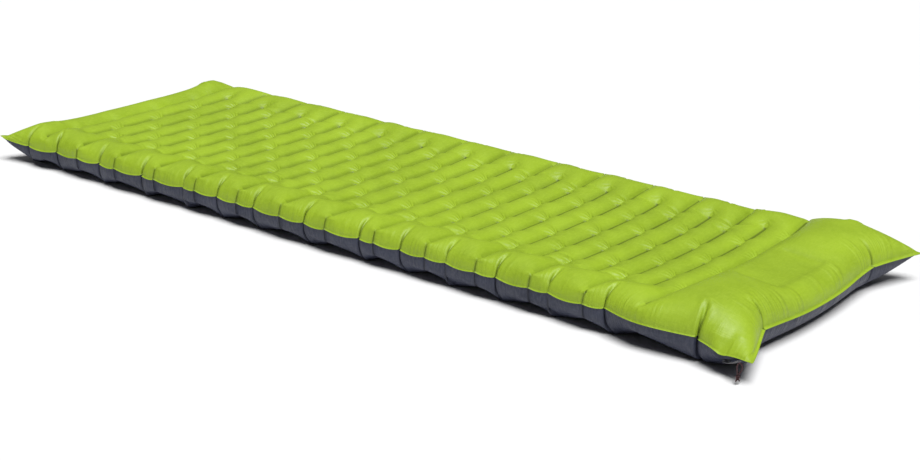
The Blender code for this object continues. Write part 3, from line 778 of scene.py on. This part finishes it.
# -------------------- the two sheets
FLANGE_END, FLANGE_SIDE = 0.005, 0.0018   # width of the edge weld at the ends and at the sides
SHEET_HALF = 0.0003          # half the gap between the two sheets at the edge
RINGS = 3                    # two rings of cells for the weld, and one that closes the sheet's edge
CLOSED = 0.08                # how much of the gap is left at the last ring


def unit(a):
    return a / np.maximum(np.linalg.norm(a, axis=0, keepdims=True), 1e-9)


def blur(line, times):
    for _ in range(times):
        line = np.concatenate([line[:, :1], 0.5 * line[:, 1:-1] + 0.25 * (line[:, 2:] + line[:, :-2]),
                               line[:, -1:]], 1)
    return line


def edge_out(cloth, edge, within):
    """The direction in which the weld's flange leaves an edge, between the two sheets."""
    rim, inner = cloth[edge][:, 0], cloth[within]
    return unit(blur(unit(unit(rim - inner[:, 0]) + unit(rim - inner[:, 1])), 6))


def with_flange(cloth, cut, sheet):
    """The sheet's grid with a ring of rows round it for the edge weld, in space and on the flat."""
    grid = cloth[:, sheet]
    _, a, b = grid.shape
    inside = slice(RINGS, -RINGS)
    out = np.zeros((3, a + 2 * RINGS, b + 2 * RINGS))
    flat = np.zeros((2, a + 2 * RINGS, b + 2 * RINGS))
    u = cut.u[:, None] * np.ones((1, b))
    v = cut.t[None] * cut.half[:, None]
    out[:, inside, inside] = grid
    flat[:, inside, inside] = (u, v)
    ends = [edge_out(cloth, (ALL, ALL, i), (ALL, ALL, k)) for i, k in ((0, 2), (-1, -3))]
    sides = [edge_out(cloth, (ALL, ALL, ALL, j), (ALL, ALL, ALL, k)) for j, k in ((0, 2), (-1, -3))]
    lift = SHEET_HALF * (1 if sheet == 0 else -1)
    for ring in range(1, RINGS + 1):
        end_away, side_away = (width * min(ring, 2) / 2 for width in (FLANGE_END, FLANGE_SIDE))
        raised = np.array([0, 0, lift * (1 if ring < RINGS else CLOSED)])[:, None]
        for far, row, sign in ((0, RINGS - ring, -1), (-1, ring - RINGS - 1, 1)):
            out[:, row, inside] = grid[:, far] + ends[far] * end_away + raised
            out[:, inside, row] = grid[..., far] + sides[far] * side_away + raised
            flat[:, row, inside] = (u[far] + sign * end_away, v[far])
            flat[:, inside, row] = (u[:, far], v[:, far] + sign * side_away)
    for gi, si in ((0, -1), (-1, 1)):
        for gj, sj in ((0, -1), (-1, 1)):
            for r in range(1, RINGS + 1):
                for q in range(1, RINGS + 1):
                    i = RINGS - r if gi == 0 else a + RINGS - 1 + r
                    j = RINGS - q if gj == 0 else b + RINGS - 1 + q
                    raised = np.array([0, 0, lift * (CLOSED if RINGS in (r, q) else 1)])
                    end_away, side_away = FLANGE_END * min(r, 2) / 2, FLANGE_SIDE * min(q, 2) / 2
                    away = ends[gi][:, gj] * end_away + sides[gj][:, gi] * side_away
                    out[:, i, j] = grid[:, gi, gj] + away + raised
                    flat[:, i, j] = (u[gi, gj] + si * end_away, v[gi, gj] + sj * side_away)
    edge = np.zeros(out.shape[1:])
    edge[[RINGS, -RINGS - 1], inside] = lift
    edge[inside, [RINGS, -RINGS - 1]] = lift
    out[2] += edge
    return out, flat


def painted_fold_shade(cut, face=False):
    """Painted shade at each point of the flat cut, from 0 to 1: darkest in the slit of each gather, and
    with face a faint painted shade round the foam face.
    """
    shade = np.zeros((cut.nx + 1, cut.ny + 1))
    lengthwise, crosswise = (cut.nx, TUBE_CUT / cut.k), (cut.ny, 2 * HALF_CUT / cut.ny)
    for axis, side, centre, size in gathers(cut):
        (cells, step), (deep, row) = (lengthwise, crosswise) if axis == 0 else (crosswise, lengthwise)
        along = (np.arange(cells + 1) - int(round(centre))) * step
        over = (np.arange(deep + 1) if side == 0 else np.arange(deep + 1)[::-1]) * row
        fade = 1 - ease((over - 0.012) / (GATHER_REACH * 0.62))
        dark = np.exp(-(along[:, None] / (0.0022 + 0.0036 * size)) ** 2) * fade[None] * min(1.0, 0.3 + size)
        shade = np.maximum(shade, dark if axis == 0 else dark.T)
    # Painted shade: a faint dark line round the border of the foam face.
    if face:
        past = (cut.u - cut.u[cut.weld[-1]])[:, None]
        wide = np.abs(cut.t)[None] * HALF_CUT
        beyond = np.maximum(np.maximum(PANEL[0] - past, past - PANEL[1]), wide - PANEL[2])
        shade = np.maximum(shade, 0.09 * np.exp(-((beyond - 0.002) / 0.006) ** 2))
    return np.pad(shade, RINGS, mode="edge")


def sheet_object(name, points, flat, painted_shade_amount, keep=None):
    """A mesh of a sheet's grid, faces out, with its flat place and how much painted shade each point has.
    """
    _, a, b = points.shape
    i, j = np.meshgrid(np.arange(a - 1), np.arange(b - 1), indexing="ij")
    corner = (i * b + j).ravel()
    quad = np.stack([corner, corner + b, corner + b + 1, corner + 1], -1)
    if keep is not None:         # the lower sheet, which has holes and faces down
        quad = quad[keep.ravel()][:, ::-1]
    mesh = bpy.data.meshes.new(name)
    mesh.vertices.add(a * b)
    mesh.vertices.foreach_set("co", points.reshape(3, -1).T.astype(FLOAT).ravel())
    mesh.loops.add(quad.size)
    mesh.loops.foreach_set("vertex_index", quad.ravel().astype(np.int32))
    mesh.polygons.add(len(quad))
    mesh.polygons.foreach_set("loop_start", np.arange(0, quad.size, 4, dtype=np.int32))
    layer = mesh.uv_layers.new(name="cloth")
    layer.data.foreach_set("uv", flat.reshape(2, -1).T[quad.ravel()].astype(FLOAT).ravel())
    # Painted shade of each point, for the fabric's colour.
    painted_shade = mesh.attributes.new("painted_shade", "FLOAT", "POINT")
    painted_shade.data.foreach_set("value", painted_shade_amount.astype(FLOAT).ravel())
    mesh.update(calc_edges=True)
    mesh.validate()
    mesh.shade_smooth()
    return new_object(name, mesh)


def cut_ports(points):
    """Opens a round hole in the lower sheet for each valve's body; returns the cells to keep."""
    gone = np.zeros(points.shape[1:], bool)
    within = np.zeros(points.shape[1:], bool)
    for (middle, out, _, _), hole in zip(valve_seats(), PORT_RADII):
        away = points - middle[:, None, None]
        off = np.einsum("kij,k->ij", away, out)
        level = away - off[None] * out[:, None, None]
        radius = np.sqrt((level ** 2).sum(0))
        near = np.abs(off) < 0.004
        inside, around = near & (radius < hole * 0.5), near & (radius < hole * 1.15)
        rim = around & ~inside
        points[:, rim] += (level * (hole / np.maximum(radius, 1e-6) - 1))[:, rim]
        gone |= inside
        within |= around
    rows, columns = (n - 1 for n in gone.shape)
    corners = [np.stack([m[i:rows + i, j:columns + j] for i in (0, 1) for j in (0, 1)])
               for m in (gone, within)]
    return ~(corners[0].any(0) | corners[1].all(0))


upper_fabric = coated_fabric("upper_fabric", rgba(0.276, 0.405, 0.020), rgba(0.236, 0.350, 0.017),
                             rgba(0.340, 0.470, 0.038), quilted=True, gathered=True)
lower_fabric = coated_fabric("lower_fabric", rgba(0.034, 0.040, 0.070), rgba(0.025, 0.030, 0.053),
                             rgba(0.104, 0.108, 0.150), gathered=True)

upper_points, upper_flat = with_flange(cloth, cut, 0)
lower_points, lower_flat = with_flange(cloth, cut, 1)
open_cells = cut_ports(lower_points)
upper = sheet_object("upper_sheet_fabric", upper_points, upper_flat, painted_fold_shade(cut, face=True))
lower = sheet_object("lower_sheet_fabric", lower_points, lower_flat, painted_fold_shade(cut), open_cells)
for sheet, fabric, node, slot in ((upper, upper_fabric, "top_sheet", "top_fabric"),
                                  (lower, lower_fabric, "bottom_sheet", "bottom_fabric")):
    sheet.data.materials.append(fabric)
    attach(sheet, "mattress")
    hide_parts(node)


# -------------------- webs, partition and foam inside
WEB_HALF = 0.00025           # half the thickness of a web
WEB_CLEAR = 0.0012           # how far a web stays from each sheet
WEB_SHARES = (0.0, 0.25, 0.5, 0.75, 1.0)
web_fabric = coated_fabric("web_fabric", rgba(0.55, 0.56, 0.57), rgba(0.46, 0.47, 0.48),
                           rgba(0.70, 0.70, 0.71))


def web_object(name, index, node):
    """An upright strip between the two sheets, straight across the gaps of its weld."""
    column = cut.weld[index]
    tied = np.nonzero(cut.tie[column])[0]
    if index == WELDS - 1:
        tied = tied[4:-4]            # the partition ends just inside the edge weld
    j = np.arange(tied[0], tied[-1] + 1)
    top = np.stack([np.interp(j, tied, cloth[k, 0, column, tied]) for k in range(3)], 1)
    low = np.stack([np.interp(j, tied, cloth[k, 1, column, tied]) for k in range(3)], 1)
    top[:, 2] -= WEB_CLEAR
    low[:, 2] += WEB_CLEAR
    points, faces = [], []
    for side in (-1, 1):
        for share in WEB_SHARES:
            points += list(top * (1 - share) + low * share + np.array([side * WEB_HALF, 0, 0]))
    n, rows = len(j), len(WEB_SHARES)
    flat = [(p[1], p[2]) for p in points]
    for side in (0, 1):
        base = side * n * rows
        for r in range(rows - 1):
            for q in range(n - 1):
                a = base + r * n + q
                face = (a, a + 1, a + n + 1, a + n)
                faces.append(face if side == 0 else face[::-1])
    over = n * rows
    rim = [q for q in range(n)] + [r * n + n - 1 for r in range(1, rows)] \
        + [(rows - 1) * n + q for q in range(n - 2, -1, -1)] + [r * n for r in range(rows - 2, 0, -1)]
    for a, b in zip(rim, rim[1:] + rim[:1]):
        faces.append((b, a, a + over, b + over))
    obj = smooth(new_mesh(name, points, faces))
    layer = obj.data.uv_layers.new(name="cloth")
    for loop in obj.data.loops:
        layer.data[loop.index].uv = flat[loop.vertex_index]
    obj.data.materials.append(web_fabric)
    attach(obj, "mattress")
    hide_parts(node)


for number in range(1, WELDS):
    web_object(f"web_strip_{number:02d}", number - 1, f"web_{number:02d}")
web_object("partition_strip", WELDS - 1, "pump_partition")


FOAM_SPAN, FOAM_FLOOR, FOAM_TOP = (0.94, 0.97), 0.0045, 0.0835


def foam_block():
    """Foam core of the pump chamber, with rounded edges."""
    low, high = (Vector(p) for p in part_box("pump_foam_core"))
    bm = bmesh.new()
    bmesh.ops.create_cube(bm, size=1.0)
    for vert in bm.verts:
        vert.co = Vector(((low.x + high.x) / 2 + vert.co.x * (high.x - low.x) * FOAM_SPAN[0],
                          vert.co.y * (high.y - low.y) * FOAM_SPAN[1],
                          FOAM_FLOOR if vert.co.z < 0 else FOAM_TOP))
    bmesh.ops.bevel(bm, geom=list(bm.edges), offset=0.007, segments=4, affect="EDGES", profile=0.5)
    bmesh.ops.subdivide_edges(bm, edges=list(bm.edges), cuts=2, use_grid_fill=True)
    mesh = bpy.data.meshes.new("foam_core")
    bm.to_mesh(mesh)
    bm.free()
    return smooth(new_object("foam_core", mesh))


foam = foam_block()
foam.data.materials.append(foam_material("foam"))
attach(foam, "mattress")
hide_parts("pump_foam_core")


# -------------------- pull cord and its knot
CORD_DIAMETER, CORD_LENGTH = 0.0023, 0.0455
CORD_SIDES, KNOT_SIDES = 24, 20
DOWN = Vector((0, 0, -1))
LOOP_TOP = Vector((0.9065, -0.3195, 0.0380))
LOOP_ACROSS = Vector((0.82, 0.57, 0)).normalized()
LOOP_ROUTE = (               # across the loop, and up from its top
    (0.0000, -0.0205), (0.0010, -0.0180), (0.0026, -0.0150), (0.0040, -0.0118), (0.0046, -0.0085),
    (0.0042, -0.0052), (0.0031, -0.0026), (0.0016, -0.0008), (0.0000, 0.0000), (-0.0016, -0.0008),
    (-0.0029, -0.0028), (-0.0036, -0.0056), (-0.0037, -0.0090), (-0.0033, -0.0124),
    (-0.0027, -0.0155), (-0.0024, -0.0180), (-0.0024, -0.0205),
)
KNOT_RADIUS, KNOT_DROP = 0.0038, 0.0212
braid = braid_material("cord_sheath")


def braided(distance, angle):
    """The relief of the yarns."""
    turn = 2 * math.pi * distance / BRAID_PITCH
    return 1.0 + 0.055 * math.sin(turn + 4 * angle) * math.sin(turn - 4 * angle)


def cord_object(name, path, radius, sides):
    """A stretch of cord; its UVs are the length along it and the turns round it."""
    obj = tube_mesh(name, path, radius, sides, braided)
    far = [0.0]
    for a, b in zip(path, path[1:]):
        far.append(far[-1] + (Vector(b) - Vector(a)).length)
    layer = obj.data.uv_layers.new(name="cloth")
    for loop in obj.data.loops:
        ring, k = divmod(loop.vertex_index, sides)
        layer.data[loop.index].uv = (far[ring], 4 * k / sides)
    obj.data.materials.append(braid)
    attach(obj, "pull_loop")
    return obj


cord_path = catmull([LOOP_TOP + LOOP_ACROSS * side - DOWN * rise for side, rise in LOOP_ROUTE], 12)
cord_piece = cord_object("pull_cord_braid", cord_path, CORD_DIAMETER / 2, CORD_SIDES)
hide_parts("pull_cord")

knot_centre = LOOP_TOP + LOOP_ACROSS * -0.0012 + DOWN * (KNOT_DROP + KNOT_RADIUS)
depth_way = LOOP_ACROSS.cross(Vector((0, 0, 1)))


def knot_path(steps=96):
    """An overhand knot, open where its two tails leave it."""
    turns = []
    for step in range(steps + 1):
        t = 2 * math.pi * (step / steps * 0.955 + 0.0225)
        x = (math.sin(t) + 2 * math.sin(2 * t)) / 3
        z = (math.cos(t) - 2 * math.cos(2 * t)) / 3
        y = -math.sin(3 * t)
        turns.append(knot_centre + LOOP_ACROSS * x * 0.0030 - DOWN * z * 0.0034 + depth_way * y * 0.0014)
    return turns


knot = cord_object("pull_cord_tied_knot", knot_path(), CORD_DIAMETER / 2, KNOT_SIDES)
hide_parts("pull_cord_knot")
for tail_number, (sway, lean) in enumerate(((-0.0016, 0.0008), (0.0014, -0.0006)), 1):
    tail_top = knot_centre + LOOP_ACROSS * sway * 0.5 + DOWN * 0.0022
    tail_path = catmull([tail_top, tail_top + LOOP_ACROSS * sway * 0.8 + depth_way * lean + DOWN * 0.0022,
                         tail_top + LOOP_ACROSS * sway * 1.6 + depth_way * lean * 2 + DOWN * 0.0046], 10)
    cord_object(f"pull_cord_tail_{tail_number}", tail_path, CORD_DIAMETER / 2 * 0.96, KNOT_SIDES)


# -------------------- carried-over CAD nodes
FINISHES = {
    "valve": plastic("valve_plastic", rgba(0.030, 0.031, 0.036), 0.42),
    "cap": plastic("cap_plastic", rgba(0.020, 0.021, 0.025), 0.34),
    "silicone": rubber("silicone", rgba(0.42, 0.43, 0.45)),
    "strap": webbing("tab_webbing", rgba(0.055, 0.056, 0.066)),
}
NODE_FINISH = {
    "transfer_valve_seat": "valve", "transfer_valve_flap": "silicone",
    "intake_valve_flange": "valve", "intake_valve_body": "valve", "intake_valve_cap": "cap",
    "intake_cap_seal": "silicone", "intake_valve_flap": "silicone", "intake_pull_tab": "strap",
    "dump_valve_flange": "valve", "dump_valve_body": "valve", "dump_valve_cap": "cap",
    "dump_cap_seal": "silicone", "dump_cap_hinge": "valve",
}
for node, finish in NODE_FINISH.items():
    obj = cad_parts[node]
    obj.data.materials.clear()
    obj.data.materials.append(FINISHES[finish])


# -------------------- floor and light
FLOOR_HALF = 30.0
# name, where the light comes from, how wide it is, and its strength
LAMPS = (("key", (2.3, -1.5, 6.9), 0.62, 4.55), ("fill", (-4.0, 2.6, 5.0), 1.2, 0.12))
SKY, BACKDROP = 0.05, 0.93   # how bright the surroundings light the pad, and how bright they look


def studio():
    """A pale floor, two soft lights and a pale backdrop."""
    corners = [(x * FLOOR_HALF, y * FLOOR_HALF, 0) for x, y in ((-1, -1), (1, -1), (1, 1), (-1, 1))]
    floor = new_mesh("floor", corners, [(0, 1, 2, 3)])
    m = Nodes("floor_paper")
    tint = m.mix(m.ramp(m.noise(m.coords(), 600.0), 0.3, 0.7), rgba(0.72, 0.72, 0.72),
                 rgba(0.75, 0.75, 0.75))
    floor.data.materials.append(m.finish(Base_Color=tint, Roughness=0.85))
    world = bpy.data.worlds.new("studio")
    bpy.context.scene.world = world
    world.use_nodes = True
    tree = world.node_tree
    dim = tree.nodes["Background"]
    dim.inputs["Color"].default_value = rgba(1.0, 1.0, 1.0)
    dim.inputs["Strength"].default_value = SKY
    backdrop = tree.nodes.new("ShaderNodeBackground")
    backdrop.inputs["Color"].default_value = rgba(BACKDROP, BACKDROP, BACKDROP)
    seen = tree.nodes.new("ShaderNodeLightPath").outputs["Is Camera Ray"]
    both = tree.nodes.new("ShaderNodeMixShader")
    tree.links.new(seen, both.inputs[0])
    tree.links.new(dim.outputs[0], both.inputs[1])
    tree.links.new(backdrop.outputs[0], both.inputs[2])
    tree.links.new(both.outputs[0], tree.nodes["World Output"].inputs["Surface"])
    for name, place, softness, strength in LAMPS:
        lamp = bpy.data.lights.new(name, "SUN")
        lamp.energy = strength
        lamp.angle = softness
        obj = new_object(name, lamp)
        obj.location = place
        obj.rotation_euler = Vector(place).to_track_quat("Z", "Y").to_euler()


studio()
